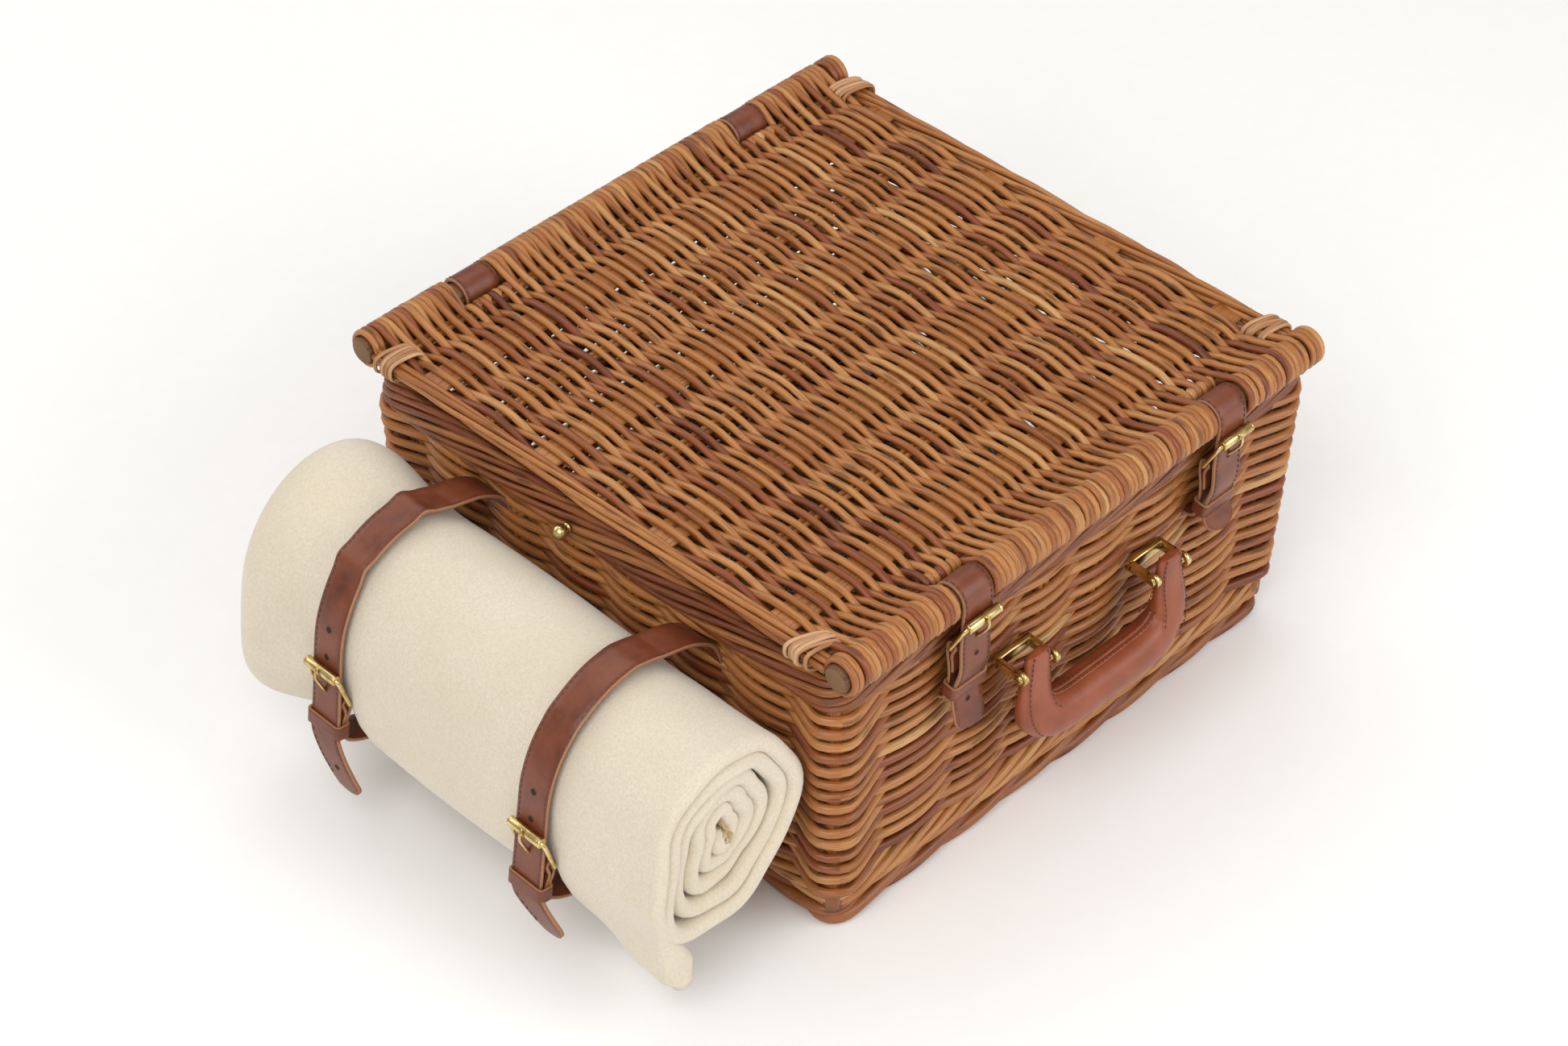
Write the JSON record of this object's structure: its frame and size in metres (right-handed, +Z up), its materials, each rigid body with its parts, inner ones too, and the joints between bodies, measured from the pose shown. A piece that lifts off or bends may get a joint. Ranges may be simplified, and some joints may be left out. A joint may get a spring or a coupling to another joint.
{
  "type": "wicker picnic hamper",
  "caption": "Square woven wicker hamper with a strapped hinged lid, a front leather handle and a rolled blanket buckled to its left side.",
  "frame": {"origin": "centre of the basket's base, on the floor", "axes": "+X to the right seen from the handle side, +Y to the hinged back, +Z up"},
  "size_m": [0.5707, 0.4539, 0.2454],
  "materials": {
    "willow": "semi-gloss peeled willow",
    "willow_dark": "semi-gloss buff willow",
    "cane": "satin split cane",
    "strap_leather": "smooth satin, stitched edges",
    "handle_leather": "smooth satin, padded and stitched",
    "brass": "polished cast brass",
    "fleece": "matt brushed fleece"
  },
  "bodies": {
    "basket": {"foot_front": "willow_dark", "foot_back": "willow_dark", "foot_left": "willow_dark", "foot_right": "willow_dark", "base_panel": "willow", "wall_front": "willow", "wall_back": "willow", "wall_left": "willow", "wall_right": "willow", "rim_front": "willow_dark", "rim_back": "willow_dark", "rim_left": "willow_dark", "rim_right": "willow_dark", "corner_post_front_left": "willow_dark", "corner_post_front_right": "willow_dark", "corner_post_back_left": "willow_dark", "corner_post_back_right": "willow_dark", "hinge_loop_left": "strap_leather", "hinge_loop_right": "strap_leather", "side_stud": "brass", "closure_chape_left": "strap_leather", "closure_keeper_left": "strap_leather", "closure_chape_right": "strap_leather", "closure_keeper_right": "strap_leather", "handle_bracket_left": "brass", "handle_pin_left": "brass", "handle_bracket_right": "brass", "handle_pin_right": "brass", "blanket_strap_front": "strap_leather", "blanket_chape_front": "strap_leather", "blanket_keeper_front": "strap_leather", "blanket_strap_back": "strap_leather", "blanket_chape_back": "strap_leather", "blanket_keeper_back": "strap_leather"},
    "lid": {"lid_stick_front": "cane", "lid_stick_back": "cane", "lid_weave": "willow", "lid_edge_left": "cane", "lid_edge_right": "cane", "lashing_front_left": "cane", "lashing_front_right": "cane", "lashing_back_left": "cane", "lashing_back_right": "cane", "closure_strap_left": "strap_leather", "closure_strap_right": "strap_leather"},
    "handle": {"handle_grip": "handle_leather"},
    "blanket": {"blanket_roll": "fleece"},
    "closure_buckle_frame_left": {"closure_buckle_frame_left": "brass"},
    "closure_roller_left": {"closure_roller_left": "brass"},
    "closure_prong_left": {"closure_prong_left": "brass"},
    "closure_buckle_frame_right": {"closure_buckle_frame_right": "brass"},
    "closure_roller_right": {"closure_roller_right": "brass"},
    "closure_prong_right": {"closure_prong_right": "brass"},
    "blanket_buckle_frame_front": {"blanket_buckle_frame_front": "brass"},
    "blanket_roller_front": {"blanket_roller_front": "brass"},
    "blanket_prong_front": {"blanket_prong_front": "brass"},
    "blanket_buckle_frame_back": {"blanket_buckle_frame_back": "brass"},
    "blanket_roller_back": {"blanket_roller_back": "brass"},
    "blanket_prong_back": {"blanket_prong_back": "brass"}
  },
  "joints": [
    {"name": "lid_hinge", "type": "hinge", "parent": "basket", "child": "lid", "pos_m": [0, 0.2055, 0.233], "axis": [-1, 0, 0], "range_deg": [0, 105]},
    {"name": "handle_hinge", "type": "hinge", "parent": "basket", "child": "handle", "pos_m": [0, -0.222, 0.148], "axis": [-1, 0, 0], "range_deg": [-6, 150]},
    {"name": "blanket_slide", "type": "slide", "parent": "basket", "child": "blanket", "axis": [0, -1, 0], "range_m": [0, 0.42]},
    {"name": "closure_buckle_hinge_left", "type": "hinge", "parent": "basket", "child": "closure_buckle_frame_left", "pos_m": [-0.109, -0.20863, 0.19622], "axis": [1, 0, 0], "range_deg": [0, 45]},
    {"name": "closure_roller_spin_left", "type": "hinge", "parent": "closure_buckle_frame_left", "child": "closure_roller_left", "pos_m": [-0.109, -0.2208, 0.21985], "axis": [1, 0, 0], "continuous": true},
    {"name": "closure_prong_hinge_left", "type": "hinge", "parent": "closure_buckle_frame_left", "child": "closure_prong_left", "pos_m": [-0.109, -0.20863, 0.19622], "axis": [1, 0, 0], "range_deg": [0, 45]},
    {"name": "closure_buckle_hinge_right", "type": "hinge", "parent": "basket", "child": "closure_buckle_frame_right", "pos_m": [0.117, -0.20863, 0.19622], "axis": [1, 0, 0], "range_deg": [0, 45]},
    {"name": "closure_roller_spin_right", "type": "hinge", "parent": "closure_buckle_frame_right", "child": "closure_roller_right", "pos_m": [0.117, -0.2208, 0.21985], "axis": [1, 0, 0], "continuous": true},
    {"name": "closure_prong_hinge_right", "type": "hinge", "parent": "closure_buckle_frame_right", "child": "closure_prong_right", "pos_m": [0.117, -0.20863, 0.19622], "axis": [1, 0, 0], "range_deg": [0, 45]},
    {"name": "blanket_buckle_hinge_front", "type": "hinge", "parent": "basket", "child": "blanket_buckle_frame_front", "pos_m": [-0.34437, -0.09, 0.10056], "axis": [0, -1, 0], "range_deg": [0, 45]},
    {"name": "blanket_roller_spin_front", "type": "hinge", "parent": "blanket_buckle_frame_front", "child": "blanket_roller_front", "pos_m": [-0.35148, -0.09, 0.12587], "axis": [0, -1, 0], "continuous": true},
    {"name": "blanket_prong_hinge_front", "type": "hinge", "parent": "blanket_buckle_frame_front", "child": "blanket_prong_front", "pos_m": [-0.34437, -0.09, 0.10056], "axis": [0, -1, 0], "range_deg": [0, 45]},
    {"name": "blanket_buckle_hinge_back", "type": "hinge", "parent": "basket", "child": "blanket_buckle_frame_back", "pos_m": [-0.34393, 0.094, 0.10352], "axis": [0, -1, 0], "range_deg": [0, 45]},
    {"name": "blanket_roller_spin_back", "type": "hinge", "parent": "blanket_buckle_frame_back", "child": "blanket_roller_back", "pos_m": [-0.35104, 0.094, 0.12884], "axis": [0, -1, 0], "continuous": true},
    {"name": "blanket_prong_hinge_back", "type": "hinge", "parent": "blanket_buckle_frame_back", "child": "blanket_prong_back", "pos_m": [-0.34393, 0.094, 0.10352], "axis": [0, -1, 0], "range_deg": [0, 45]}
  ]
}
